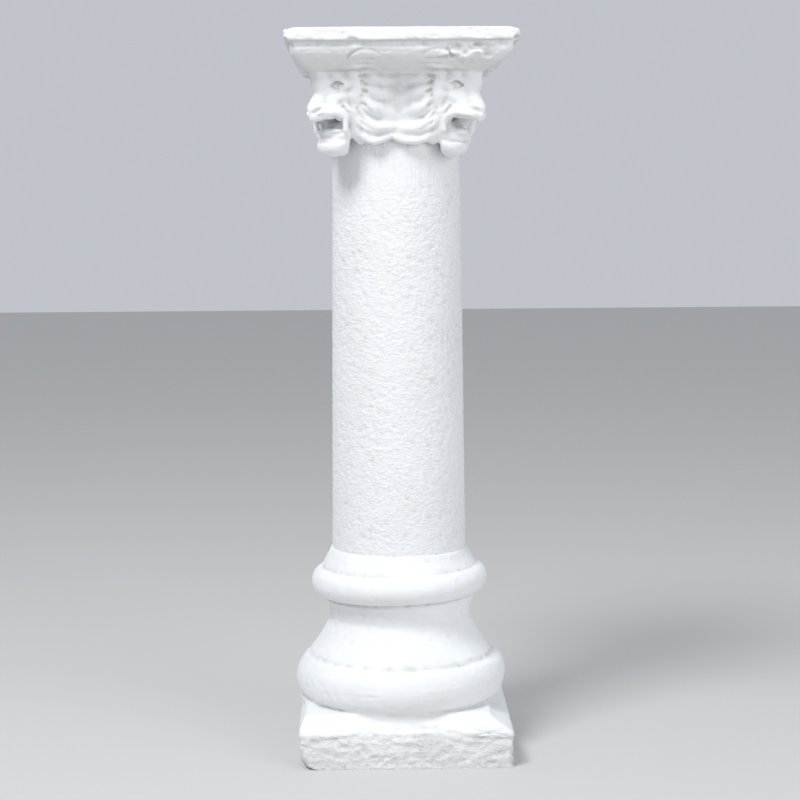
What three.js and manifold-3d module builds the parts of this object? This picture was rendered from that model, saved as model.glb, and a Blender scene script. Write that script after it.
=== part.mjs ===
// A cast pedestal column: a square plinth, an Attic base, a plain tapering shaft, and a square
// abacus carried by a ring of four roaring lion heads, one under each corner. It is one casting.
// Millimetres, +Z up, origin on the axis at the foot, and the photographed side faces -Y.
import * as THREE from 'three';
import { mergeVertices } from 'three/addons/utils/BufferGeometryUtils.js';
import Module from 'manifold-3d';

// Plinth
const plinthWidth = 314;
const plinthFace = 54;
const plinthHeight = 76;
const washInset = 22;
const plinthSquareness = 16;

// Base mouldings, from the plinth up
const torusSink = 5;
const lowerTorusWidth = 318;
const lowerTorusHeight = 66;
const lowerTorusRoll = 22;
const scotiaFlare = 33;
const scotiaHeight = 80;
const scotiaWaist = 106;
const scotiaLip = 9;
const upperTorusWidth = 266;
const upperTorusHeight = 55;
const upperTorusRoll = 20;
const upperTorusBelly = 0.6;
const shoulderHeight = 27;
const shoulderWidth = 226;
const shoulderGroove = 2;

// Shaft
const axisOffset = -7;
const shaftFootWidth = 202;
const shaftMiddleWidth = 195;
const shaftTopWidth = 188;
const shaftLength = 585;
const entasisAt = 0.57;

// Lion heads: from the foot of the chin to the brow line under the abacus
const headHeight = 118;
const headCount = 4;
const browTuck = 4;

// Abacus
const ovoloHeight = 30;
const ovoloInset = 9;
const ovoloRoll = 36;
const filletHeight = 9;
const fasciaHeight = 20;
const abacusWidth = 334;
const abacusSquareness = 18;
const edgeWear = 3;

// How finely the round work is cut
const turnedSides = 36;
const squareSides = 40;
const ringSides = 128;
const ringRows = 22;
const ringOverlap = 4;
const faceCrowding = 0.62;

const plaster = { color: 0xeceded, roughness: 0.82, metalness: 0 };

const wasm = await Module();
wasm.setup();

// Levels, one on top of the other
const lowerTorusTop = plinthHeight + lowerTorusHeight;
const scotiaTop = lowerTorusTop + scotiaHeight;
const upperTorusTop = scotiaTop + upperTorusHeight;
const shaftFoot = upperTorusTop + shoulderHeight;
const chinLevel = shaftFoot + shaftLength;
const ovoloFoot = chinLevel + headHeight + browTuck;
const filletFoot = ovoloFoot + ovoloHeight;
const fasciaFoot = filletFoot + filletHeight;
const totalHeight = fasciaFoot + fasciaHeight;

function toSolid(geometry) {
  const bare = geometry.clone();
  bare.deleteAttribute('normal');
  bare.deleteAttribute('uv');
  const merged = mergeVertices(bare, 1e-4);
  return new wasm.Manifold(new wasm.Mesh({
    numProp: 3,
    vertProperties: new Float32Array(merged.attributes.position.array),
    triVerts: new Uint32Array(merged.index.array),
  }));
}

// A profile of [radius, height] pairs, turned about the vertical axis and closed on it
function turned(profile, sides) {
  const outline = [[0, profile[0][1]], ...profile, [0, profile.at(-1)[1]]];
  const points = outline.map(([radius, height]) => new THREE.Vector2(radius, height));
  return new THREE.LatheGeometry(points, sides).rotateX(Math.PI / 2);
}

// The same, but drawn out to a square whose corners are worn round, its points crowding to them
function squared(profile, squareness) {
  const geometry = turned(profile, squareSides);
  const place = geometry.attributes.position;
  const quarter = Math.PI / 2;
  for (let i = 0; i < place.count; i += 1) {
    const radius = Math.hypot(place.getX(i), place.getY(i));
    if (radius < 1e-6) continue;
    const bearing = Math.atan2(place.getY(i), place.getX(i));
    const corner = (Math.floor(bearing / quarter) + 0.5) * quarter;
    const share = (bearing - corner) / (quarter / 2);
    const turn = corner + Math.sign(share) * share ** 2 * (quarter / 2);
    const [x, y] = [Math.cos(turn), Math.sin(turn)];
    const reach = radius * (Math.abs(x) ** squareness + Math.abs(y) ** squareness) ** (-1 / squareness);
    place.setXY(i, reach * x, reach * y);
  }
  return geometry;
}

// A roll of the base: two quarter ellipses that meet where it is widest
function roll(width, bulge, foot, top, steps, belly = 0.5) {
  const points = [];
  const widest = foot + (top - foot) * belly;
  for (let i = 0; i <= steps; i += 1) {
    const angle = -Math.PI / 2 + (Math.PI * i) / steps;
    const rise = angle < 0 ? widest - foot : top - widest;
    points.push([width / 2 - bulge * (1 - Math.cos(angle)), widest + rise * Math.sin(angle)]);
  }
  return points;
}

function shaftRadius(share) {
  const [foot, middle, top] = [shaftFootWidth, shaftMiddleWidth, shaftTopWidth];
  return (share < entasisAt
    ? foot + (middle - foot) * (share / entasisAt) ** 2
    : middle + (top - middle) * (share - entasisAt) / (1 - entasisAt)) / 2;
}

function columnBody() {
  const profile = roll(lowerTorusWidth, lowerTorusRoll, plinthHeight - torusSink, lowerTorusTop, 8);
  const flare = scotiaHeight * 0.7;
  const flareSteps = 5;
  for (let i = 0; i < flareSteps; i += 1) {
    const left = 1 - i / flareSteps;
    profile.push([scotiaWaist + scotiaFlare * left ** 1.3, lowerTorusTop + 2 + flare * (1 - left)]);
  }
  profile.push([scotiaWaist, lowerTorusTop + flare]);
  profile.push([scotiaWaist + scotiaLip * 0.4, scotiaTop - scotiaHeight * 0.12]);
  profile.push([scotiaWaist + scotiaLip, scotiaTop]);
  profile.push(
    ...roll(upperTorusWidth, upperTorusRoll, scotiaTop, upperTorusTop, 8, upperTorusBelly).slice(1),
  );
  profile.push([shoulderWidth / 2, upperTorusTop + shoulderGroove]);
  const shaftSteps = 6;
  for (let i = 0; i <= shaftSteps; i += 1) {
    profile.push([shaftRadius(i / shaftSteps), shaftFoot + (shaftLength * i) / shaftSteps]);
  }
  profile.push([shaftTopWidth / 2, ovoloFoot + ovoloHeight / 2]);
  return turned(profile, turnedSides).translate(axisOffset, 0, 0);
}

function plinth() {
  const half = plinthWidth / 2;
  return squared([
    [half - edgeWear, 0],
    [half, edgeWear],
    [half, plinthFace - edgeWear],
    [half - edgeWear, plinthFace],
    [half - washInset, plinthHeight - edgeWear],
    [half - washInset - edgeWear * 2, plinthHeight],
  ], plinthSquareness);
}

function abacus() {
  const half = abacusWidth / 2;
  const profile = [];
  const steps = 5;
  for (let i = 0; i <= steps; i += 1) {
    const fall = 1 - i / steps;
    profile.push([half - ovoloInset - ovoloRoll * fall ** 2, filletFoot - ovoloHeight * fall]);
  }
  profile.push([half - ovoloInset, fasciaFoot]);
  profile.push([half - edgeWear, fasciaFoot]);
  profile.push([half, fasciaFoot + edgeWear]);
  profile.push([half, totalHeight - edgeWear]);
  profile.push([half - edgeWear, totalHeight]);
  return squared(profile, abacusSquareness);
}

// Carving is a distance field in a lion head's own frame: out from the shaft's skin along the
// corner's diagonal, aside from the head's middle, and up from the chin, for a head 118 high.
function join(a, b, softness) {
  const overlap = Math.max(softness - Math.abs(a - b), 0) / softness;
  return Math.min(a, b) - (overlap * overlap * softness) / 4;
}

function cut(a, b, softness) {
  return -join(-a, b, softness);
}

function egg(point, centre, radii) {
  const scaled = Math.hypot(...point.map((v, i) => (v - centre[i]) / radii[i]));
  const slope = Math.hypot(...point.map((v, i) => (v - centre[i]) / radii[i] ** 2));
  return (scaled * (scaled - 1)) / Math.max(slope, 1e-6);
}

function limb(point, from, to, startRadius, endRadius) {
  const along = to.map((v, i) => v - from[i]);
  const reach = along.reduce((sum, v) => sum + v * v, 0);
  const dot = along.reduce((sum, v, i) => sum + v * (point[i] - from[i]), 0);
  const share = Math.min(Math.max(dot / reach, 0), 1);
  const gap = Math.hypot(...point.map((v, i) => v - from[i] - along[i] * share));
  return gap - startRadius - (endRadius - startRadius) * share;
}

// A lock of the mane: a limb bent by its sag, in two stretches
function lock(point, from, to, sag, radius) {
  const middle = from.map((v, i) => (v + to[i]) / 2);
  middle[2] -= sag;
  return Math.min(
    limb(point, from, middle, radius, radius * 0.95),
    limb(point, middle, to, radius * 0.95, radius * 0.7),
  );
}

// The mane between two heads: a wall with a shallow valley down its middle and a scalloped foot,
// and swags that hang on it from the ruff and sink into the valley. Here a point is [off the
// side's middle, out from the axis, up], and side skin is the wall's distance from the axis.
const sideSkin = 107;
const scallopFoot = 15;
const scallopRise = 10;
const scallopAt = 28;
const swagCount = 4;
const coveFoot = 98;
const coveFlare = 22;

function mane(point) {
  const [off, out, up] = point;
  const fall = 1.4 - 1.15 * Math.min(Math.max((up - 50) / 16, 0), 1);
  const cove = coveFlare * Math.min(Math.max((up - coveFoot) / 34, 0), 1) ** 2;
  const wall = out - sideSkin - Math.min(off, 40) * 0.1 + Math.max(off - 44, 0) * fall - cove;
  const foot = scallopFoot + scallopRise * (1 - off / scallopAt) ** 2;
  let field = cut(wall, up - foot, 10);
  for (let i = 0; i < swagCount; i += 1) {
    const from = [56 - 2 * i, sideSkin, 114 - 23 * i];
    const to = [10, sideSkin - 7, 92 - 19 * i];
    field = join(field, lock(point, from, to, 3 + 3 * i, 11), 5);
  }
  return field;
}

// The dark gap behind each jaw, off the side's middle, which ends under the cheek
const slotEdge = 61;
const slotTop = 60;

// A whole head with its half of the mane on either side
function headField(out, aside, up) {
  const point = [out, aside, up];
  const diagonal = out + shaftTopWidth / 2;
  const side = [(diagonal - aside) * Math.SQRT1_2, (diagonal + aside) * Math.SQRT1_2, up];
  let field = egg(point, [14, 0, 103], [52, 38, 46]);
  field = join(field, egg(point, [18, 22, 68], [27, 19, 34]), 10);
  field = join(field, limb(point, [52, 0, 95], [65, 0, 72], 14, 12), 8);
  field = join(field, egg(point, [67, 0, 65], [12.5, 13.5, 11]), 5);
  field = join(field, limb(point, [54, 9, 61], [32, 25, 66], 12, 13), 6);
  field = join(field, limb(point, [52, 8, 111], [44, 28, 108], 12, 8), 6);
  field = join(field, egg(point, [20, 0, 27], [25, 31, 25]), 8);
  field = join(field, egg(point, [33, 0, 15], [20, 25, 15]), 7);
  field = cut(field, egg(point, [54, 0, 46], [24, 42, 13]), 4);
  field = join(field, lock(point, [35, 30, 38], [45, 0, 31], 2, 5), 3);
  field = join(field, egg(point, [34, 0, 33], [17, 12, 6]), 3);
  field = cut(field, limb(point, [48, 14, 22], [52, 0, 21], 3, 3), 3);
  field = cut(field, egg(point, [58, 21, 101], [11, 10, 7]), 4);
  field = join(field, egg(point, [44, 21, 101], [7, 9, 6]), 2);
  field = cut(field, limb(point, [76, 9, 64], [66, 18, 70], 3.5, 3), 2);
  field = join(field, egg(point, [12, 42, 124], [22, 22, 13]), 5);
  field = cut(field, Math.max((side[0] - slotEdge - (slotTop - up) * 0.14) * 0.9, up - slotTop), 6);
  field = join(field, limb(point, [22, 42, 104], [19, 42, 72], 8, 7), 4);
  return join(field, mane(side), 4);
}

// How far the carving stands off the axis at a bearing from a head's middle, found from outside
function carvedReach(bearing, up) {
  const unit = headHeight / 118;
  const [ahead, aside] = [Math.cos(bearing), Math.sin(bearing)];
  const core = shaftTopWidth / 2 - 8;
  let reach = 190;
  while (reach > core) {
    const gap = headField(reach * ahead - shaftTopWidth / 2, reach * aside, up / unit);
    if (gap < 0.02) break;
    reach -= Math.max(gap * 0.7, 0.05);
  }
  return Math.max(reach, core);
}

// The ring of heads is a turned blank, each point of it moved in to the carving. Its points crowd
// towards the faces, and the carving is worked out once for the eight like parts of the ring.
function lionRing() {
  const step = (headHeight + ringOverlap * 2) / ringRows;
  const profile = [];
  for (let row = 0; row <= ringRows; row += 1) {
    profile.push([1, chinLevel - ringOverlap + row * step]);
  }
  const geometry = turned(profile, ringSides);
  const place = geometry.attributes.position;
  const sector = (2 * Math.PI) / headCount;
  const worked = new Map();
  for (let i = 0; i < place.count; i += 1) {
    if (Math.hypot(place.getX(i), place.getY(i)) < 0.5) continue;
    const bearing = Math.atan2(place.getY(i), place.getX(i));
    const middle = (Math.floor(bearing / sector) + 0.5) * sector;
    const share = (bearing - middle) / (sector / 2);
    const aside = Math.abs(share * (faceCrowding + (1 - faceCrowding) * share ** 2) * (sector / 2));
    const up = place.getZ(i) - chinLevel;
    const key = `${aside.toFixed(5)} ${up.toFixed(3)}`;
    if (!worked.has(key)) worked.set(key, carvedReach(aside, up));
    const reach = worked.get(key);
    const turn = middle + Math.sign(share) * aside;
    place.setXY(i, reach * Math.cos(turn), reach * Math.sin(turn));
  }
  return geometry.translate(axisOffset, 0, 0);
}

function column() {
  const solid = [plinth(), abacus(), lionRing()]
    .reduce((whole, piece) => whole.add(toSolid(piece)), toSolid(columnBody()));
  const { vertProperties, triVerts } = solid.getMesh();
  const geometry = new THREE.BufferGeometry();
  geometry.setAttribute('position', new THREE.BufferAttribute(vertProperties, 3));
  geometry.setIndex(new THREE.BufferAttribute(triVerts, 1));
  geometry.computeVertexNormals();
  const mesh = new THREE.Mesh(geometry, new THREE.MeshStandardMaterial(plaster));
  mesh.name = 'column';
  return mesh;
}

const group = new THREE.Group();
group.add(column());

export default group;
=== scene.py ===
# A white-painted pedestal column: square plinth, moulded base, rough shaft, four lion heads under a slab.
import math
import time

import bmesh
import bpy
import numpy as np
import openvdb
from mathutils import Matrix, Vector


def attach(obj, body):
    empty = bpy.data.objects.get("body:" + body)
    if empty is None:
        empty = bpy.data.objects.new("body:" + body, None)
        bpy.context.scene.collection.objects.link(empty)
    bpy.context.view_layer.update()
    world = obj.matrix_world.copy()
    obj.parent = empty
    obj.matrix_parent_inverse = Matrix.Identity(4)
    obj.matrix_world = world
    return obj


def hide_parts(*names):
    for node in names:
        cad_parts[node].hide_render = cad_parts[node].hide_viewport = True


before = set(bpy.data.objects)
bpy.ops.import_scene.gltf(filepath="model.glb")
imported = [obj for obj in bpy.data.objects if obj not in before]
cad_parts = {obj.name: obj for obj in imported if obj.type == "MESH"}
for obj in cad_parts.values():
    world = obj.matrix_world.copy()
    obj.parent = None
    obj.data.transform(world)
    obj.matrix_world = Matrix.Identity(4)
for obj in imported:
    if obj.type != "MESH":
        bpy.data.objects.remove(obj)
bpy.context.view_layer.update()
startTime = time.time()

# Millimetres, in the photograph's proportions at an estimated height; z runs up from the plinth's underside.
column = {
    "height": 1070,
    "chinLevel": 889,
    "skin": 94.5,
    "ringShift": -7.0,
    "plinthHalf": 157,
    "slabHalf": 167,
    "sharpAngle": 55,
}


def say(stage):
    print(f"{time.time() - startTime:6.1f} s  {stage}")


# A camera fitted to the photograph's perspective; metres, degrees and millimetres of lens.

view = {
    "distance": 2.968,
    "height": 0.827,
    "turn": -1.0,
    "aim": 0.03,
    "pitch": 5.79,
    "roll": 0.42,
    "lens": 88.8,
    "film": 36,
}


def placeCamera():
    turn = math.radians(view["turn"])
    camera = bpy.data.objects.new("camera", bpy.data.cameras.new("camera"))
    camera.location = (math.sin(turn) * view["distance"], -math.cos(turn) * view["distance"], view["height"])
    camera.rotation_euler = (
        math.radians(90 - view["pitch"]),
        math.radians(view["roll"]),
        turn + math.radians(view["aim"]),
    )
    camera.data.lens = view["lens"]
    camera.data.sensor_width = view["film"]
    camera.data.dof.use_dof = False
    bpy.context.scene.collection.objects.link(camera)
    bpy.context.scene.camera = camera


placeCamera()


# Carved volumes: distances joined and cut with soft edges.

def join(first, second, soft):
    overlap = np.maximum(soft - np.abs(first - second), 0)
    return np.minimum(first, second) - overlap * overlap / (4 * soft)


def cut(first, second, soft):
    return -join(-first, second, soft)


# Distance from a square with rounded corners, seen from above.
def roundedSquare(x, y, half, corner):
    dx = np.maximum(x - (half - corner), 0)
    dy = np.maximum(y - (half - corner), 0)
    inner = np.minimum(np.maximum(x, y) - half + corner, 0)
    return np.sqrt(dx * dx + dy * dy) + inner - corner


def smooth(points, steps):
    ends = np.array([points[0], *points, points[-1]], float)
    line = []
    for i in range(1, len(ends) - 2):
        a, b, c, d = ends[i - 1:i + 3]
        for t in np.linspace(0, 1, steps, endpoint=False):
            line.append(0.5 * (2 * b + (c - a) * t + (2 * a - 5 * b + 4 * c - d) * t * t
                               + (3 * b - a - 3 * c + d) * t ** 3))
    line.append(ends[-2])
    return [tuple(point) for point in line]


# A quarter of a carving as distances on a grid; every length is in millimetres.
class Quarter:
    def __init__(self, reach, low, high, pitch):
        self.line = np.arange(0, reach + pitch, pitch, dtype=np.float32)
        self.rise = np.arange(low, high + pitch, pitch, dtype=np.float32)
        self.values = np.full((len(self.line), len(self.line), len(self.rise)), 40, np.float32)

    def window(self, low, high):
        parts = []
        for line, a, b in zip((self.line, self.line, self.rise), low, high):
            parts.append(slice(max(int(np.searchsorted(line, a)) - 1, 0), int(np.searchsorted(line, b)) + 1))
        return tuple(parts)

    def grid(self, place):
        x = self.line[place[0]][:, None, None]
        y = self.line[place[1]][None, :, None]
        return x, y, self.rise[place[2]][None, None, :]

    def axes(self, place, kind):
        x, y, z = self.grid(place)
        up = z - column["chinLevel"]
        if kind == "face":
            half = np.float32(math.sqrt(0.5))
            return (x + y) * half - column["skin"], np.abs(x - y) * half, up
        if kind == "side":
            return np.minimum(x, y), np.maximum(x, y), up
        return x, y, z

    def around(self, points, margin, kind):
        lows = np.min(points, axis=0)
        highs = np.max(points, axis=0)
        base = 0 if kind == "plain" else column["chinLevel"]
        if kind == "face":
            half = math.sqrt(0.5)
            a = (lows[0] + column["skin"] - margin - highs[1] - margin) * half
            b = (highs[0] + column["skin"] + margin + highs[1] + margin) * half
            low, high = (a, a), (b, b)
        elif kind == "side":
            a = min(lows[0], lows[1]) - margin
            b = max(highs[0], highs[1]) + margin
            low, high = (a, a), (b, b)
        else:
            low, high = lows[:2] - margin, highs[:2] + margin
        return self.window((*low, lows[2] - margin + base), (*high, highs[2] + margin + base))

    def blend(self, place, shape, soft, how):
        old = self.values[place]
        self.values[place] = join(old, shape, soft) if how == "add" else cut(old, shape, soft)

    def egg(self, centre, radii, soft=4.0, how="add", kind="face"):
        place = self.around([centre], max(radii) + soft + 4, kind)
        offsets = [a - c for a, c in zip(self.axes(place, kind), centre)]
        share = np.sqrt(sum((a / r) ** 2 for a, r in zip(offsets, radii)))
        slope = np.sqrt(sum((a / (r * r)) ** 2 for a, r in zip(offsets, radii)))
        self.blend(place, share * (share - 1) / np.maximum(slope, 1e-5), soft, how)

    def limb(self, points, radii, soft=4.0, how="add", kind="face"):
        place = self.around(points, max(radii) + soft + 4, kind)
        axes = self.axes(place, kind)
        steps = len(points) - 1
        widths = np.interp(np.linspace(0, 1, steps + 1), np.linspace(0, 1, len(radii)), radii)
        nearest = None
        for i in range(steps):
            start = points[i]
            run = [b - a for a, b in zip(start, points[i + 1])]
            share = sum((p - a) * v for p, a, v in zip(axes, start, run)) / max(sum(v * v for v in run), 1e-6)
            share = np.clip(share, 0, 1)
            gap = np.sqrt(sum((p - a - share * v) ** 2 for p, a, v in zip(axes, start, run)))
            gap = gap - (widths[i] + (widths[i + 1] - widths[i]) * share)
            nearest = gap if nearest is None else np.minimum(nearest, gap)
        self.blend(place, nearest, soft, how)


def meshFromQuarters(name, quarters, pitch):
    first = next(iter(quarters.values()))
    n = len(first.line)
    whole = np.empty((2 * n - 1, 2 * n - 1, len(first.rise)), np.float32)
    for (sx, sy), quarter in quarters.items():
        values = quarter.values if sx > 0 else quarter.values[::-1]
        values = values if sy > 0 else values[:, ::-1]
        across = slice(n - 1, None) if sx > 0 else slice(0, n)
        along = slice(n - 1, None) if sy > 0 else slice(0, n)
        whole[across, along] = values
    grid = openvdb.FloatGrid(20.0)
    grid.copyFromArray(np.clip(whole, -8, 8))
    points, quads = grid.convertToQuads(0.0)
    points = points * pitch + np.array([-(n - 1) * pitch, -(n - 1) * pitch, first.rise[0]])
    mesh = bpy.data.meshes.new(name)
    mesh.from_pydata((points / 1000).tolist(), [], quads.tolist())
    mesh.update()
    if signedVolume(mesh) < 0:
        mesh.flip_normals()
    return mesh


def readPoints(mesh):
    values = np.empty(len(mesh.vertices) * 3, np.float32)
    mesh.vertices.foreach_get("co", values)
    return values.reshape(-1, 3)


def readNormals(mesh):
    values = np.empty(len(mesh.vertices) * 3, np.float32)
    mesh.vertex_normals.foreach_get("vector", values)
    return values.reshape(-1, 3)


def writePoints(mesh, points):
    mesh.vertices.foreach_set("co", points.astype(np.float32).ravel())
    mesh.update()


def signedVolume(mesh):
    mesh.calc_loop_triangles()
    corners = np.empty(len(mesh.loop_triangles) * 3, np.int32)
    mesh.loop_triangles.foreach_get("vertices", corners)
    a, b, c = readPoints(mesh)[corners].reshape(-1, 3, 3).transpose(1, 0, 2)
    return float((np.cross(a, b) * c).sum() / 6)


# Smooth noise from -1 to 1 on points in millimetres, with a cell size for each axis.
def grain(points, sizes, seed):
    cell = points / np.asarray(sizes, np.float32)
    low = np.floor(cell).astype(np.int64)
    part = cell - low
    part = part * part * (3 - 2 * part)
    total = np.zeros(len(points), np.float32)
    for corner in range(8):
        step = np.array([corner & 1, corner >> 1 & 1, corner >> 2 & 1])
        at = low + step
        mix = at[:, 0] * 73856093 ^ at[:, 1] * 19349663 ^ at[:, 2] * 83492791 ^ (seed + 7) * 2654435761
        mix = (mix ^ mix >> 13) * 1274126177 & 0x7FFFFFFF
        mix = (mix ^ mix >> 15) & 0xFFFF
        weight = np.prod(np.where(step, part, 1 - part), axis=1)
        total += weight * (mix / 32767.5 - 1)
    return total


def layer(points, settings):
    cells, seed, depth = settings
    return grain(points, cells, seed) * depth


def band(value, low, high, soft):
    return np.clip((value - low) / soft, 0, 1) * np.clip((high - value) / soft, 0, 1)


def thin(mesh, triangles):
    piece = bpy.data.objects.new("thinning", mesh)
    bpy.context.scene.collection.objects.link(piece)
    mesh.calc_loop_triangles()
    share = triangles / max(len(mesh.loop_triangles), 1)
    if share < 1:
        modifier = piece.modifiers.new("thin", "DECIMATE")
        modifier.ratio = share
        modifier.use_collapse_triangulate = True
    return applied(piece)


def applied(piece):
    graph = bpy.context.evaluated_depsgraph_get()
    mesh = bpy.data.meshes.new_from_object(piece.evaluated_get(graph))
    piece.modifiers.clear()
    old = piece.data
    piece.data = mesh
    bpy.data.meshes.remove(old)
    return piece


# Heads, mane and slab, carved as one ring.

headSettings = {
    "pitch": 1.6,
    "triangles": 84000,
    "nods": {(-1, -1): (4, 3), (1, -1): (-13, 2), (-1, 1): (-3, 0), (1, 1): (-3, 0)},
    "slotEdge": 61.5,
    "reach": 174,
    "levels": (880, 1076),
}


def carveHead(block, jaw, nose):
    half = jaw / 2
    # skull, brow and cheeks
    block.egg((4, 0, 106), (48, 41, 38), 4)
    block.limb([(54, 0, 120), (55, 0, 107), (52, 0, 95)], (17, 17.5, 14), 10)
    block.limb([(50, 8, 113), (48, 20, 114), (33, 34, 108)], (10, 9, 8), 6)
    block.egg((14, 22, 70), (25, 18, 34), 10)
    block.limb([(47, 12, 82), (39, 24, 88), (27, 33, 96)], (8, 8, 6), 5)
    # bridge and nose
    block.limb([(52, 0, 95), (56 + nose / 2, 0, 84), (65 + nose, 0, 72)], (14, 13, 12), 6)
    block.egg((67 + nose, 0, 65), (12.5, 13.5, 11), 5)
    block.egg((63 + nose, 8.5, 62), (11, 7.5, 8), 6)
    block.limb([(47, 15, 92), (50 + nose / 2, 15, 80), (53 + nose, 15, 70)], (8, 9, 9), 9)
    block.egg((40, 25, 79), (11, 9, 10), 9)
    # muzzle and upper lip
    block.limb([(55 + nose, 9, 62), (46, 17, 64), (30, 25, 66)], (12, 13, 13), 6)
    block.egg((54 + nose, 10, 57), (17, 14, 8), 6)
    block.limb([(49, 31, 76), (41, 37, 80), (30, 43, 86)], (2.4, 3, 2.4), 7, "cut")
    # lower jaw and chin
    block.egg((20 + half, 0, 27), (25, 31, 25), 8)
    block.egg((32 + jaw, 0, 17), (20, 26, 14), 8)
    block.egg((36 + jaw, 0, 12), (14.5, 20, 11), 6)
    # open mouth
    block.egg((60 + half, 0, 49), (23, 27, 14), 4, "cut")
    block.egg((60 + half, 0, 49), (17, 46, 12.5), 6, "cut")
    block.egg((48 + half, 0, 48), (15, 16, 9), 4, "cut")
    # rims of the lips and the crease under the lower one
    upperRim = [(38 + half, 30, 38), (38 + half, 31, 47), (41 + half / 2, 30, 57), (50 + nose, 24, 62),
                (58 + nose, 17, 59.5), (72 + nose, 0, 55)]
    block.limb(smooth(upperRim, 4), (4, 4.2, 4, 3.6, 4.5, 6), 5)
    rim = max(41 + jaw, 38 + half)
    lowerRim = [(34 + half, 30.5, 38), (rim - 8, 27, 31), (rim - 3, 17, 30), (rim, 0, 30)]
    block.limb(smooth(lowerRim, 4), (3.4, 4.2, 4.4), 4)
    front = max(52 + jaw, 46.5 + half)
    crease = [(front - 18, 32, 24), (front - 10, 25, 22.5), (front - 3, 13, 21.5), (front, 0, 21)]
    block.limb(smooth(crease, 4), (1.6, 2.4, 2.4), 2, "cut")
    # tongue, the low ridge of teeth and the gum
    block.egg((36 + half, 0, 35), (18, 13, 7), 3)
    teeth = [(33 + jaw, 22, 38), (41 + jaw, 17, 37), (46 + jaw, 0, 37)]
    block.limb(smooth(teeth, 4), (2.4, 3, 3.4), 1.5)
    gum = [(40, 23, 58), (50 + nose / 2, 16, 57), (58 + nose, 0, 56)]
    block.limb(smooth(gum, 3), (2.5, 3.2, 3.2), 2)
    # eyes between heavy lids
    block.egg((40, 26.5, 101), (10, 11, 9), 5)
    upperLid = [(55.5, 16, 102.5), (53.5, 21, 107.5), (50.5, 27, 109), (47, 34, 104.5)]
    block.limb(smooth(upperLid, 3), (1.8, 2.6, 2.6, 1.8), 2.5)
    upperSlit = [(55.5, 17, 100.5), (52, 21, 104), (49.8, 26, 105.2), (48.3, 30.5, 103.6), (47.5, 34, 101)]
    block.limb(smooth(upperSlit, 4), (2.0, 3.0, 3.1, 2.7, 1.4), 0.8, "cut")
    lowerSlit = [(55.5, 17, 100.5), (52, 21.5, 98), (49.8, 26.5, 97), (48.3, 31, 98.4), (47.5, 34, 100.4)]
    block.limb(smooth(lowerSlit, 4), (2.0, 2.3, 2.3, 2.0, 1.4), 0.8, "cut")
    block.egg((50.5, 25, 101), (4.4, 2.2, 2.2), 0.8, "cut")
    block.limb([(57, 9, 116), (50, 18, 117), (42, 28, 113)], (2, 2.2, 1.4), 3, "cut")
    # nostrils, the cleft of the nose and creases behind the mouth
    block.limb([(79 + nose, 5, 61), (74 + nose, 11, 65.5), (67 + nose, 16, 69)], (3.2, 4.0, 2.0), 1.5, "cut")
    block.limb([(81 + nose, 0, 58), (77 + nose, 0, 49)], (1.5, 1.2), 2, "cut")
    block.limb([(44, 30, 71), (36, 35.5, 60)], (1.8, 1.8), 2.5, "cut")
    block.limb([(37, 35, 76), (29, 39, 63)], (1.8, 1.6), 2.5, "cut")


# The dark gap between each jaw and the mane behind it.
def clearSlots(block, jaw):
    place = block.window((0, 0, 880), (140, 140, 1000))
    off, _, up = block.axes(place, "side")
    edge = headSettings["slotEdge"] + jaw * 0.35 + (60 - up) * 0.14
    slot = np.maximum((off - edge) * 0.9, up - 60)
    block.blend(place, slot, 6, "cut")


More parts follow.
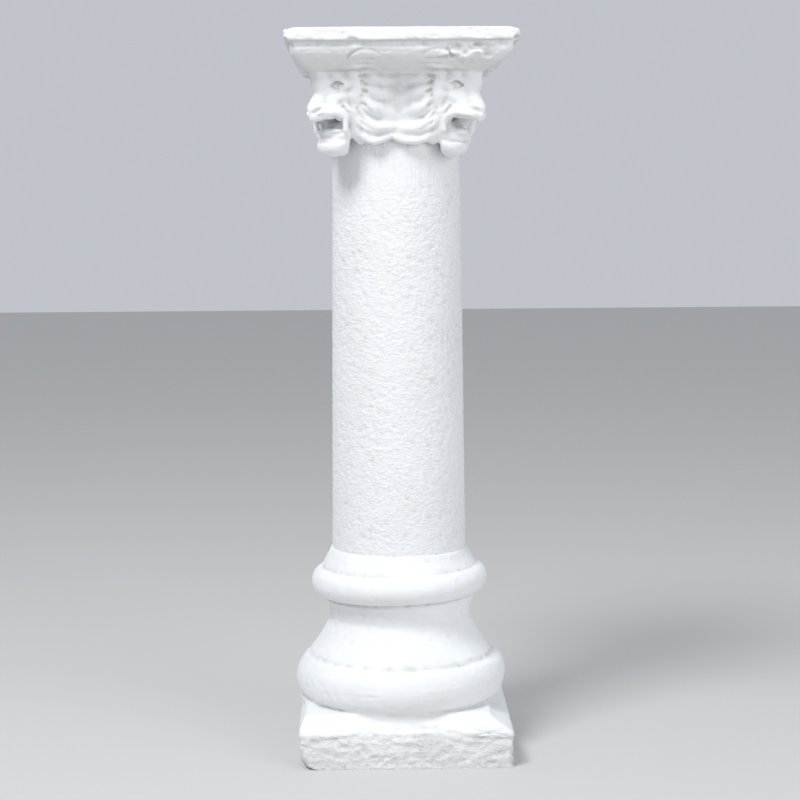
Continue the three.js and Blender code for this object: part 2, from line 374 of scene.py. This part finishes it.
def carveMane(block):
    place = block.window((0, 0, 880), (140, 140, 1060))
    off, out, up = block.axes(place, "side")
    fall = 1.4 - 1.15 * np.clip((up - 50) / 16, 0, 1)
    wall = out - 105 - np.minimum(off, 40) * 0.1 + np.maximum(off - 47, 0) * fall
    wall = wall - 24 * np.clip((up - 92) / 38, 0, 1) ** 2
    foot = 19 + 8 * (1 - off / 26) ** 2
    shape = np.maximum(cut(wall, up - foot, 8), up - 160)
    block.values[place] = join(block.values[place], shape, 4)
    lobes = (
        ([(64, 111, 123), (48, 111, 118), (32, 108, 111), (10, 98, 109)], (11, 10, 9, 7)),
        ([(62, 110, 105), (46, 108, 99), (31, 107, 91), (10, 96, 86)], (11, 11, 10.5, 8)),
        ([(62, 110, 88), (47, 108, 79), (33, 107, 69), (10, 96, 65)], (11, 11, 11, 8)),
        ([(60, 107, 70), (51, 107, 53), (36, 107, 43), (18, 104, 42), (0, 100, 44)], (9, 10, 9, 8.5, 6.5)),
        ([(57, 100, 50), (52, 103, 35), (43, 104, 26), (28, 104.5, 22), (12, 103, 26), (0, 101, 31)],
         (4, 4.8, 4.8, 4.8, 4.2, 3.6)),
    )
    for points, radii in lobes:
        block.limb(smooth(points, 4), radii, 5, "add", "side")
    hanging = [(63, 104, 60), (61, 101, 44), (57, 96, 31), (52, 90, 22)]
    block.limb(smooth(hanging, 4), (5, 7, 7, 5), 9, "add", "side")
    grooves = (
        ([(52, 121.5, 112), (46, 121, 109), (33, 117.5, 102), (21, 112, 99)], (0.6, 3.4, 3.2, 0.8)),
        ([(46, 120, 93), (38, 118.5, 86), (26, 115.5, 78), (14, 110, 77)], (0.8, 2.8, 3.4, 1)),
        ([(56, 121, 80), (48, 119, 73), (38, 118, 62), (26, 115, 55), (12, 110, 56)], (0.8, 3, 3.2, 3.4, 1)),
        ([(58, 116, 60), (54, 117, 44), (43, 117.5, 33), (29, 115.5, 28), (17, 111.5, 30)],
         (0.8, 2.2, 2.2, 1.6, 0.4)),
    )
    for points, radii in grooves:
        block.limb(smooth(points, 4), radii, 2.2, "cut", "side")
    # fine strands where the mane leaves the face
    rng = np.random.default_rng(5)
    for points, radii in lobes[:4]:
        curve = np.array(smooth(points, 8))
        for side in (-0.5, 0.0, 0.5):
            strand = curve[3:int(len(curve) * rng.uniform(0.5, 0.75))].copy()
            strand[:, 2] += side * radii[1]
            strand[:, 1] += radii[1] * math.sqrt(1 - side * side)
            block.limb([tuple(point) for point in strand[::3]], (0.8, 3.3, 2.9, 0.7), 1.2, "cut", "side")
    # ruff at the edge of the face
    block.limb(smooth([(33, 39, 116), (28, 40, 98), (25, 39, 80)], 3), (6, 7, 5), 6)


# Locks over the mane, combed in strands, and the low arc of each ear.
def carveLocks(block):
    block.limb(smooth([(78, 133, 126), (58, 137, 129), (40, 134, 131), (22, 126, 129)], 4), (2, 6, 5, 1), 5,
               "add", "side")
    for height, reach, bulge in ((122, 130, 4), (128.5, 141, 2.5), (135, 149, 0.5)):
        strand = [(74, reach, height - 2), (57, reach + bulge, height), (42, reach + bulge * 0.6, height + 1),
                  (29, reach, height)]
        block.limb(smooth(strand, 4), (0.6, 2.2, 2.0, 0.4), 1, "cut", "side")
    earArc = [(74, 148, 134), (72, 153, 142), (58, 158.5, 149), (42, 158.5, 148), (30, 155, 143)]
    block.limb(smooth(earArc, 4), (1.2, 2.2, 2.6, 2.2, 0.8), 1.5, "cut", "side")


slabSettings = {
    "fasciaFoot": 1050,
    "filletFoot": 1041,
    "ovoloFoot": 1009,
    "filletInset": 9,
    "ovoloInset": 36,
}


def carveSlab(block, chips):
    place = block.window((0, 0, 996), (180, 180, 1080))
    x, y, z = block.grid(place)

    def square(half, corner):
        return roundedSquare(x, y, half, corner)

    half = column["slabHalf"]
    fascia = (column["height"] + slabSettings["fasciaFoot"]) / 2
    thick = (column["height"] - slabSettings["fasciaFoot"]) / 2
    slab = cut(square(half, 9), thick - np.abs(z - fascia), 3)
    filletHalf = half - slabSettings["filletInset"]
    fillet = np.maximum(square(filletHalf, 9), np.abs(z - slabSettings["filletFoot"] - 6) - 8)
    depth = slabSettings["filletFoot"] - slabSettings["ovoloFoot"]
    share = np.clip((slabSettings["filletFoot"] - z) / depth, 0, 1)
    ovolo = square(filletHalf - slabSettings["ovoloInset"] * share ** 2, 12)
    ovolo = np.maximum(ovolo * 0.75, np.abs(z - slabSettings["filletFoot"] + depth / 2) - depth / 2 - 1)
    block.blend(place, join(join(slab, fillet, 2), ovolo, 2), 7, "add")
    for centre, radii in chips:
        block.egg(centre, radii, 1.5, "cut", "plain")


slabChips = {
    (-1, -1): [((70, 166, 1051), (9, 3, 3)), ((164, 160, 1052), (5, 6, 4))],
    (1, -1): [((86, 168, 1049), (26, 4, 3)),
              ((162, 160, 1052), (7, 9, 5)), ((20, 167, 1051), (6, 2, 2))],
    (-1, 1): [((166, 60, 1051), (3, 10, 3)), ((40, 167, 1052), (9, 3, 3))],
    (1, 1): [((167, 90, 1050), (3, 12, 3)), ((110, 167, 1051), (8, 3, 3))],
}


# Each grain has its cell sizes in millimetres, its seed and its depth; shifts and wear are millimetres.
capitalSettings = {
    "skin": ((8, 8, 6), 1, 0.5),
    "fine": ((3.4, 3.4, 3), 2, 0.25),
    "layers": ((34, 34, 2.8), 3, 0.45),
    "waves": ((60, 60, 40), 4, 0.8),
    "brokenLumps": ((18, 18, 8), 6, 2.4),
    "brokenCrumbs": ((6, 6, 4), 7, 1.4),
    "frontShift": 11,
    "cornerWear": 6,
    "edgeWear": 1.4,
}


def makeCapital():
    pitch = headSettings["pitch"]
    quarters = {}
    for corner, (jaw, nose) in headSettings["nods"].items():
        block = Quarter(headSettings["reach"], *headSettings["levels"], pitch)
        carveHead(block, jaw, nose)
        clearSlots(block, jaw)
        carveMane(block)
        carveSlab(block, slabChips[corner])
        carveLocks(block)
        quarters[corner] = block
    mesh = meshFromQuarters("capital", quarters, pitch)
    points = readPoints(mesh) * 1000
    normals = readNormals(mesh)
    x, y, z = points.T
    slabShare = np.clip((z - 1012) / 20, 0, 1)
    push = layer(points, capitalSettings["skin"]) + layer(points, capitalSettings["fine"])
    push += layer(points, capitalSettings["layers"]) * slabShare
    push += layer(points, capitalSettings["waves"]) * slabShare
    pits = np.clip(grain(points, (6, 6, 5), 5) - 0.62, 0, 1) * 4
    push -= pits * (0.35 + 0.65 * slabShare)
    # the broken patch under the slab at the right of the front
    broken = band(x, 48, 136, 14) * band(z, 1022, 1050, 6) * (y < -120)
    cells, seed, depth = capitalSettings["brokenLumps"]
    lumps = depth * np.clip(grain(points, cells, seed) * 5, -1, 1)
    push += broken * (lumps + layer(points, capitalSettings["brokenCrumbs"]))
    points = points + normals * push[:, None]
    x, y, z = points.T
    points[:, 0] += column["ringShift"] * np.clip((1040 - z) / 30, 0, 1)
    # the swags of the front meet left of its middle
    front = band(-y, 88, 150, 12) * np.clip(1 - np.abs(x) / 52, 0, 1) * np.clip((935 - z) / 25, 0, 1)
    points[:, 0] -= capitalSettings["frontShift"] * front
    # worn top edge of the slab, lowest at the middle of its front
    edge = np.clip((z - 1066) / 4, 0, 1) * np.clip((np.maximum(np.abs(x), np.abs(y)) - 150) / 17, 0, 1)
    wear = capitalSettings["edgeWear"]
    points[:, 2] -= edge * (wear + wear * np.cos(np.clip(x / 110, -1, 1) * math.pi / 2) * (y < -140))
    worn = np.clip((np.abs(x) - 148) / 19, 0, 1) * np.clip((np.abs(y) - 130) / 20, 0, 1)
    points[:, 2] -= capitalSettings["cornerWear"] * worn ** 2 * np.clip((z - 1054) / 16, 0, 1)
    points[:, :2] = np.clip(points[:, :2], -column["slabHalf"], column["slabHalf"])
    points[:, 2] = np.minimum(points[:, 2], column["height"])
    writePoints(mesh, points / 1000)
    piece = thin(mesh, headSettings["triangles"])
    say(f"capital {len(piece.data.polygons)} faces")
    return piece


# Plinth and base mouldings.

baseSettings = {
    "pitch": 2.0,
    "triangles": 40000,
    "plinthFace": 54,
    "plinthTop": 77,
    "washInset": 24,
    "lowerRoll": (137, 109, 22, 33),
    "upperRoll": (113, 255.5, 20, 22),
    "coneFoot": (118, 274),
    "coneTop": (103, 304),
    "seat": (146, 82),
    "grooves": ((140, 146, 3.2), (118.5, 278, 2.4), (114, 232.5, 3.4)),
    "waist": (106, 201),
    "waistFoot": (139, 144),
    "waistTop": (114, 229),
    "reach": 170,
    "levels": (-8, 304),
    "skin": ((9, 9, 7), 11, 0.4),
    "fine": ((4, 4, 3.4), 12, 0.25),
    "layers": ((50, 50, 3.2), 13, 0.3),
    "wave": ((34, 34, 900), 14, 4),
    "rubble": ((15, 15, 8), 15, 0.5),
    "crumbs": ((6.5, 6.5, 4.5), 16, 0.5),
    "crackWander": ((9, 9, 9), 17, 2),
    "cracks": ((112, 0.14), (128, -0.22)),
    "faceDepth": 3.4,
    "faceInset": 2.2,
    "crackDepth": 2.6,
    "cornerWear": (11, 7),
    "rollTilt": (0.030, 0.024),
}


def carveBase(block):
    place = block.window((0, 0, -10), (180, 180, 310))
    x, y, z = block.grid(place)
    radius = np.sqrt(x * x + y * y)

    def roll(centre, height, width, rise):
        a = radius - centre
        b = z - height
        share = np.sqrt((a / width) ** 2 + (b / rise) ** 2)
        slope = np.sqrt((a / width ** 2) ** 2 + (b / rise ** 2) ** 2)
        ring = share * (share - 1) / np.maximum(slope, 1e-5)
        return np.minimum(ring, np.maximum(radius - centre, np.abs(b) - rise))

    half = column["plinthHalf"]
    flat = roundedSquare(x, y, half, 8)
    level = np.maximum(-z, z - baseSettings["plinthFace"])
    body = cut(flat, -level, 5)
    lean = (baseSettings["plinthTop"] - baseSettings["plinthFace"]) / baseSettings["washInset"]
    wash = (z - baseSettings["plinthFace"] + flat * lean) * 0.72
    body = join(body, np.maximum(cut(flat, -wash, 5), np.maximum(-z, z - baseSettings["plinthTop"])), 3)
    waist, waistLevel = baseSettings["waist"]
    foot, footLevel = baseSettings["waistFoot"]
    lip, lipLevel = baseSettings["waistTop"]
    fall = np.clip((waistLevel - z) / (waistLevel - footLevel), 0, 1)
    climb = np.clip((z - waistLevel) / (lipLevel - waistLevel), 0, 1)
    scotia = radius - (waist + (foot - waist) * fall ** 1.3 + (lip - waist) * climb ** 2)
    body = join(body, np.maximum(scotia * 0.85, np.maximum(footLevel - 20 - z, z - 270)), 1.5)
    (wide, wideLevel), (narrow, narrowLevel) = baseSettings["coneFoot"], baseSettings["coneTop"]
    cone = radius - wide + (z - wideLevel) * (wide - narrow) / (narrowLevel - wideLevel)
    body = join(body, np.maximum(cone * 0.78, np.maximum(wideLevel - z, z - narrowLevel)), 1.5)
    seat, seatLevel = baseSettings["seat"]
    body = join(body, np.maximum(radius - seat, np.maximum(50 - z, z - seatLevel)), 3)
    for name in ("lowerRoll", "upperRoll"):
        body = join(body, roll(*baseSettings[name]), 1.5)
    for centre, height, width in baseSettings["grooves"]:
        body = cut(body, np.hypot(radius - centre, z - height) - width, 2)
    block.values[place] = body


def makeBase():
    pitch = baseSettings["pitch"]
    block = Quarter(baseSettings["reach"], *baseSettings["levels"], pitch)
    carveBase(block)
    mesh = meshFromQuarters("base", {(a, b): block for a in (-1, 1) for b in (-1, 1)}, pitch)
    points = readPoints(mesh) * 1000
    normals = readNormals(mesh)
    x, y, z = points.T
    low = np.clip((60 - z) / 8, 0, 1)
    push = layer(points, baseSettings["skin"]) + layer(points, baseSettings["fine"])
    push += layer(points, baseSettings["layers"]) * (1 - low)
    # the plinth's faces are rough and broken under a wavy border
    border = 49 + 15 * np.exp(-((x - 15) / 75) ** 2) * (y < 0) + layer(points, baseSettings["wave"])
    face = np.clip((np.maximum(np.abs(x), np.abs(y)) - 136) / 5, 0, 1) * np.clip((border - z) / 3, 0, 1)
    rough = layer(points, baseSettings["rubble"]) + layer(points, baseSettings["crumbs"])
    push += face * (rough * baseSettings["faceDepth"] - baseSettings["faceInset"])
    # cracks at the right of the front
    for start, drop in baseSettings["cracks"]:
        line = np.abs(z - 52 - (x - start) * drop - layer(points, baseSettings["crackWander"]))
        gape = np.clip(1 - line / 2.2, 0, 1)
        push -= baseSettings["crackDepth"] * gape * band(x, 96, 150, 6) * (y < -140)
    # the ragged groove over the lower roll
    ragged = band(z, 139, 149, 3) * np.clip((x + 40) / 60, 0, 1) * (y < 20)
    push -= ragged * np.clip(grain(points, (8, 8, 4), 18) + 0.2, 0, 1) * 1.8
    pits = np.clip(grain(points, (7, 7, 6), 19) - 0.6, 0, 1) * 4
    push -= pits * 0.8
    sole = np.clip(z / 4, 0, 1)
    points = points + normals * (push * sole)[:, None]
    x, y, z = points.T
    # the worn lower left corner
    corner = np.clip(1 - np.hypot(x + column["plinthHalf"], z) / 32, 0, 1) ** 1.5
    corner *= np.clip((60 - np.abs(y + column["plinthHalf"])) / 60, 0, 1)
    inward, upward = baseSettings["cornerWear"]
    points[:, 0] += corner * inward
    points[:, 2] += corner * upward
    lift = np.clip((z - 50) / 26, 0, 1)
    points[:, 0] += column["ringShift"] * lift * (0.82 + 0.18 * np.clip((z - 142) / 130, 0, 1))
    # the plinth's top sits a little to the left
    rim = np.clip((np.maximum(np.abs(x), np.abs(y)) - 118) / 18, 0, 1) * np.clip((84 - z) / 6, 0, 1)
    points[:, 0] -= 8 * rim * np.clip((z - 52) / 22, 0, 1)
    # both rolls lie a little askew
    lowerTilt, upperTilt = baseSettings["rollTilt"]
    points[:, 2] += x * (lowerTilt * band(z, 84, 142, 8) + upperTilt * band(z, 222, 282, 8))
    points[:, 2] = np.maximum(points[:, 2], 0)
    writePoints(mesh, points / 1000)
    piece = thin(mesh, baseSettings["triangles"])
    say(f"base {len(piece.data.polygons)} faces")
    return piece


# The shaft is a node tree with its sizes as inputs.

# One socket of a node tree; the arithmetic signs add the nodes.
class Maths:
    def __init__(self, tree, socket):
        self.tree = tree
        self.socket = socket

    def node(self, kind, settings=None, inputs=None, output=0):
        node = self.tree.nodes.new(kind)
        for name, value in (settings or {}).items():
            setattr(node, name, value)
        for name, value in (inputs or {}).items():
            if isinstance(value, Maths):
                self.tree.links.new(value.socket, node.inputs[name])
            else:
                node.inputs[name].default_value = value
        return Maths(self.tree, node.outputs[output])

    def calculate(self, operation, *values, clamp=False):
        settings = {"operation": operation, "use_clamp": clamp}
        return self.node("ShaderNodeMath", settings, dict(enumerate(values)))

    def __add__(self, other):
        return self.calculate("ADD", self, other)

    def __sub__(self, other):
        return self.calculate("SUBTRACT", self, other)

    def __mul__(self, other):
        return self.calculate("MULTIPLY", self, other)

    def __truediv__(self, other):
        return self.calculate("DIVIDE", self, other)

    def __radd__(self, other):
        return self.calculate("ADD", other, self)

    def __rsub__(self, other):
        return self.calculate("SUBTRACT", other, self)

    def __rmul__(self, other):
        return self.calculate("MULTIPLY", other, self)

    def __rtruediv__(self, other):
        return self.calculate("DIVIDE", other, self)

    def __pow__(self, other):
        return self.calculate("POWER", self, other)

    def clamped(self):
        return self.calculate("ADD", self, 0.0, clamp=True)

    def noise(self, place, scale, detail=2.0, roughness=0.5):
        inputs = {"Vector": place, "Scale": scale, "Detail": detail, "Roughness": roughness}
        return self.node("ShaderNodeTexNoise", None, inputs)

    def stretched(self, scale):
        return self.node("ShaderNodeVectorMath", {"operation": "MULTIPLY"}, {0: self, 1: scale})

    def blend(self, share, first, second):
        mix = self.tree.nodes.new("ShaderNodeMix")
        mix.data_type = "RGBA"
        for index, value in ((0, share), (6, first), (7, second)):
            if isinstance(value, Maths):
                self.tree.links.new(value.socket, mix.inputs[index])
            else:
                mix.inputs[index].default_value = value
        return Maths(self.tree, mix.outputs[2])


shaftSettings = {
    "Foot width": 0.202,
    "Middle width": 0.195,
    "Top width": 0.186,
    "Foot level": 0.280,
    "Top level": 1.030,
    "Coarse depth": 0.0016,
    "Fine depth": 0.0009,
    "Comb depth": 0.0011,
    "Pit depth": 0.0022,
}


# Faces round and along the drum, and how tightly each grain is packed along x, y and z.
shaftDetail = {
    "around": 164,
    "along": 204,
    "coarse": (1100, 1100, 165),
    "fine": (2600, 2600, 330),
    "pits": (1300, 1300, 240),
    "comb": (2600, 2600, 12),
    "combLevel": 0.845,
}


def shaftTree(material):
    tree = bpy.data.node_groups.new("turned shaft", "GeometryNodeTree")
    tree.interface.new_socket("Geometry", in_out="OUTPUT", socket_type="NodeSocketGeometry")
    for name in shaftSettings:
        tree.interface.new_socket(name, in_out="INPUT", socket_type="NodeSocketFloat")
    entry = tree.nodes.new("NodeGroupInput")
    given = {name: Maths(tree, entry.outputs[name]) for name in shaftSettings}
    tool = given["Foot width"]
    length = given["Top level"] - given["Foot level"]
    drum = tool.node("GeometryNodeMeshCylinder", {"fill_type": "TRIANGLE_FAN"}, {
        "Vertices": shaftDetail["around"],
        "Side Segments": shaftDetail["along"],
        "Radius": 1.0,
        "Depth": length,
    })
    place = tool.node("GeometryNodeInputPosition")
    split = place.node("ShaderNodeSeparateXYZ", None, {"Vector": place})
    x, y, z = (Maths(tree, split.socket.node.outputs[i]) for i in range(3))
    level = z + (given["Top level"] + given["Foot level"]) / 2
    rise = ((level - given["Foot level"]) / length).clamped()
    lower = given["Foot width"] + (given["Middle width"] - given["Foot width"]) * (rise * 2).clamped()
    width = lower + (given["Top width"] - given["Middle width"]) * ((rise - 0.5) * 2).clamped()
    skin = tool.node("ShaderNodeCombineXYZ", None, {"X": x * 0.1, "Y": y * 0.1, "Z": level})
    coarseNoise = tool.noise(skin.stretched(shaftDetail["coarse"]), 1.0, 3.0, 0.62) - 0.5
    fineNoise = tool.noise(skin.stretched(shaftDetail["fine"]), 1.0, 2.0, 0.6) - 0.5
    pitNoise = tool.noise(skin.stretched(shaftDetail["pits"]), 1.0, 1.0, 0.4)
    pits = ((pitNoise - 0.60) * 7).clamped()
    combNoise = tool.noise(skin.stretched(shaftDetail["comb"]), 1.0, 1.0, 0.5) - 0.5
    comb = ((level - shaftDetail["combLevel"]) / 0.02).clamped()
    depth = coarseNoise * given["Coarse depth"] * 2 * (1 - comb * 0.7) + fineNoise * given["Fine depth"] * 2
    depth = depth - pits * given["Pit depth"] * (1 - comb * 0.8) + combNoise * comb * given["Comb depth"] * 2
    radius = width / 2 + depth
    shift = column["ringShift"] / 1000
    target = tool.node("ShaderNodeCombineXYZ", None, {"X": x * radius + shift, "Y": y * radius, "Z": level})
    moved = tool.node("GeometryNodeSetPosition", None, {"Geometry": drum, "Position": target})
    smoothed = tool.node("GeometryNodeSetShadeSmooth", None, {"Geometry": moved})
    real = tool.node("GeometryNodeRealizeInstances", None, {"Geometry": smoothed})
    dressed = tool.node("GeometryNodeSetMaterial", None, {"Geometry": real, "Material": material})
    leave = tree.nodes.new("NodeGroupOutput")
    tree.links.new(dressed.socket, leave.inputs["Geometry"])
    return tree


def makeShaft(material):
    piece = bpy.data.objects.new("shaft", bpy.data.meshes.new("shaft"))
    bpy.context.scene.collection.objects.link(piece)
    modifier = piece.modifiers.new("shaft", "NODES")
    modifier.node_group = shaftTree(material)
    for item in modifier.node_group.interface.items_tree:
        if item.in_out == "INPUT":
            modifier[item.identifier] = shaftSettings[item.name]
    applied(piece)
    say(f"shaft {len(piece.data.polygons)} faces")
    return piece


# Paint over the whole casting.

paintSettings = {
    "white": (0.84, 0.86, 0.87, 1),
    "worn": (0.76, 0.77, 0.77, 1),
    # painted shade: the grey laid into hollows, grooves and the undersides below the slab
    "paintedShade": (0.52, 0.515, 0.49, 1),
    "soil": (0.30, 0.28, 0.26, 1),
    "roughness": 0.72,
    "specular": 0.35,
    "patches": 9.0,
    "specks": 160.0,
    "brushed": (30, 30, 420),
    "stucco": (150, 150, 230),
    "combed": (420, 420, 9),
    "soilTop": 0.052,
    "bumpStrength": 0.5,
    "bumpDistance": 0.0016,
}


def makePaint():
    material = bpy.data.materials.new("paint")
    material.use_nodes = True
    tree = material.node_tree
    shader = tree.nodes["Principled BSDF"]
    start = Maths(tree, tree.nodes.new("ShaderNodeTexCoord").outputs["Object"])
    split = start.node("ShaderNodeSeparateXYZ", None, {"Vector": start})
    level = Maths(tree, split.socket.node.outputs[2])
    paintedShade = start.node("ShaderNodeAttribute", {"attribute_name": "paintedShade"}, None, 2)
    patches = start.noise(start, paintSettings["patches"], 4.0, 0.6)
    specks = start.noise(start, paintSettings["specks"], 3.0, 0.65)
    brushed = start.noise(start.stretched(paintSettings["brushed"]), 1.0, 3.0, 0.6)
    worn = ((patches - 0.5) * 3 + 0.35).clamped() * 0.5
    colour = start.blend(worn, paintSettings["white"], paintSettings["worn"])
    # painted shade: the grey darkens hollows, grooves and undersides, speckled
    colour = start.blend((paintedShade * (0.35 + specks * 1.1)).clamped(), colour, paintSettings["paintedShade"])
    soil = ((paintSettings["soilTop"] - level) * 16 + (patches - 0.5) * 1.4).clamped()
    soil = soil * (specks * 0.9 - 0.1)
    colour = start.blend(soil, colour, paintSettings["soil"])
    tree.links.new(colour.socket, shader.inputs["Base Color"])
    rough = paintSettings["roughness"] + (patches - 0.5) * 0.18
    tree.links.new(rough.socket, shader.inputs["Roughness"])
    shader.inputs["Specular IOR Level"].default_value = paintSettings["specular"]
    x, y = (Maths(tree, split.socket.node.outputs[i]) for i in range(2))
    radius = (x * x + y * y) ** 0.5
    onShaft = ((level - 0.292) * 200).clamped() * ((0.94 - level) * 60).clamped()
    onShaft = onShaft * ((0.109 - radius) * 300).clamped()
    onFace = ((0.056 - level) * 200).clamped()
    onShaft = (onShaft + onFace).clamped()
    stucco = start.noise(start.stretched(paintSettings["stucco"]), 1.0, 3.0, 0.62)
    comb = ((level - 0.835) * 50).clamped() * onShaft
    combed = start.noise(start.stretched(paintSettings["combed"]), 1.0, 2.0, 0.55)
    stucco = stucco * (1 - comb * 0.6) + combed * comb * 0.6
    height = specks * 0.4 + brushed * 0.4 * (1 - onShaft) + ((stucco - 0.42) * 2.2).clamped() * onShaft * 1.6
    bump = start.node("ShaderNodeBump", None, {
        "Height": height,
        "Strength": paintSettings["bumpStrength"],
        "Distance": paintSettings["bumpDistance"],
    })
    tree.links.new(bump.socket, shader.inputs["Normal"])
    return material


# Painted shade: a share of grey for each point, stronger in hollows and the base's grooves and on down-facing
# surfaces below the slab.
def markPaintedShade(mesh):
    points = readPoints(mesh) * 1000
    normals = readNormals(mesh)
    edges = np.empty(len(mesh.edges) * 2, np.int32)
    mesh.edges.foreach_get("vertices", edges)
    a, b = edges.reshape(-1, 2).T
    count = np.bincount(a, minlength=len(points)) + np.bincount(b, minlength=len(points))
    count = np.maximum(count, 1)

    def spread(values):
        total = np.bincount(a, values[b], len(points)) + np.bincount(b, values[a], len(points))
        return total / count

    around = np.stack([spread(points[:, i]) for i in range(3)], axis=1)
    # how far each point sits inside its neighbours; the painted shade gathers in these hollows
    hollow = ((around - points) * normals).sum(axis=1)
    for _ in range(4):
        hollow = 0.5 * hollow + 0.5 * spread(hollow)
    z = points[:, 2]
    # painted shade below the slab: darker where the surface faces down
    under = np.clip(-normals[:, 2] - 0.15, 0, 1) * np.clip((z - 985) / 30, 0, 1) * 0.45
    # painted shade, stronger in the base's grooves at these levels
    grooveBands = band(z, 138, 153, 3) + band(z, 224, 240, 3) + band(z, 272, 287, 3)
    carved = (z > 870) & (z < 1046)
    paintedShade = np.clip(hollow * np.where(carved, 2.6, 1.6), 0, 0.75) * np.where(carved, 1, 0.45 + grooveBands) + under
    attribute = mesh.attributes.new("paintedShade", "FLOAT", "POINT")
    attribute.data.foreach_set("value", np.clip(paintedShade, 0, 1).astype(np.float32))


# One column out of base, shaft and capital.

def unite(main, others):
    for other in others:
        modifier = main.modifiers.new("join", "BOOLEAN")
        modifier.operation = "UNION"
        modifier.solver = "MANIFOLD"
        modifier.object = other
    applied(main)
    for other in others:
        bpy.data.objects.remove(other)


def openEdges(mesh):
    work = bmesh.new()
    work.from_mesh(mesh)
    count = sum(1 for edge in work.edges if not edge.is_manifold)
    work.free()
    return count


paint = makePaint()
shaft = makeShaft(paint)
base = makeBase()
capital = makeCapital()
unite(shaft, [base, capital])
pedestal = shaft
pedestal.name = "pedestalColumn"
casting = pedestal.data
casting.name = "pedestalColumn"
outer = np.array([column["slabHalf"], column["slabHalf"], column["height"]]) / 1000
writePoints(casting, np.clip(readPoints(casting), outer * (-1, -1, 0), outer))
casting.materials.clear()
casting.materials.append(paint)
casting.polygons.foreach_set("material_index", np.zeros(len(casting.polygons), np.int32))
casting.shade_smooth()
casting.set_sharp_from_angle(angle=math.radians(column["sharpAngle"]))
# painted shade into hollows, grooves and undersides
markPaintedShade(casting)
casting.calc_loop_triangles()
say(f"column {len(casting.loop_triangles)} triangles, {openEdges(casting)} open edges")
say(f"volume {signedVolume(casting):.5f}")
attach(pedestal, "root")
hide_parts("column")

# Floor, sky and lights.

stageSettings = {
    "floor": (0.62, 0.61, 0.60, 1),
    "sky": (0.80, 0.84, 0.90, 1),
    "skyStrength": 0.66,
    "floorSize": 24,
    "floorRoughness": 0.9,
    "aimHeight": 0.7,
    "lights": {
        "key": ((-1.5, -2.0, 3.8), 1.3, 112),
        "fill": ((2.4, -2.6, 1.6), 2.0, 34),
    },
}


def makeStage():
    bpy.ops.mesh.primitive_plane_add(size=stageSettings["floorSize"], location=(0, 0, 0))
    floor = bpy.context.object
    floor.name = "floor"
    material = bpy.data.materials.new("floor")
    material.use_nodes = True
    shader = material.node_tree.nodes["Principled BSDF"]
    shader.inputs["Base Color"].default_value = stageSettings["floor"]
    shader.inputs["Roughness"].default_value = stageSettings["floorRoughness"]
    floor.data.materials.append(material)
    world = bpy.data.worlds.new("sky")
    world.use_nodes = True
    background = world.node_tree.nodes["Background"]
    background.inputs["Color"].default_value = stageSettings["sky"]
    background.inputs["Strength"].default_value = stageSettings["skyStrength"]
    bpy.context.scene.world = world
    bpy.context.scene.view_settings.view_transform = "Standard"
    aim = Vector((0, 0, stageSettings["aimHeight"]))
    for name, (place, size, energy) in stageSettings["lights"].items():
        light = bpy.data.objects.new(name, bpy.data.lights.new(name, "AREA"))
        light.data.size = size
        light.data.energy = energy
        light.location = place
        light.rotation_euler = (aim - Vector(place)).to_track_quat("-Z", "Y").to_euler()
        bpy.context.scene.collection.objects.link(light)


makeStage()
say("stage")
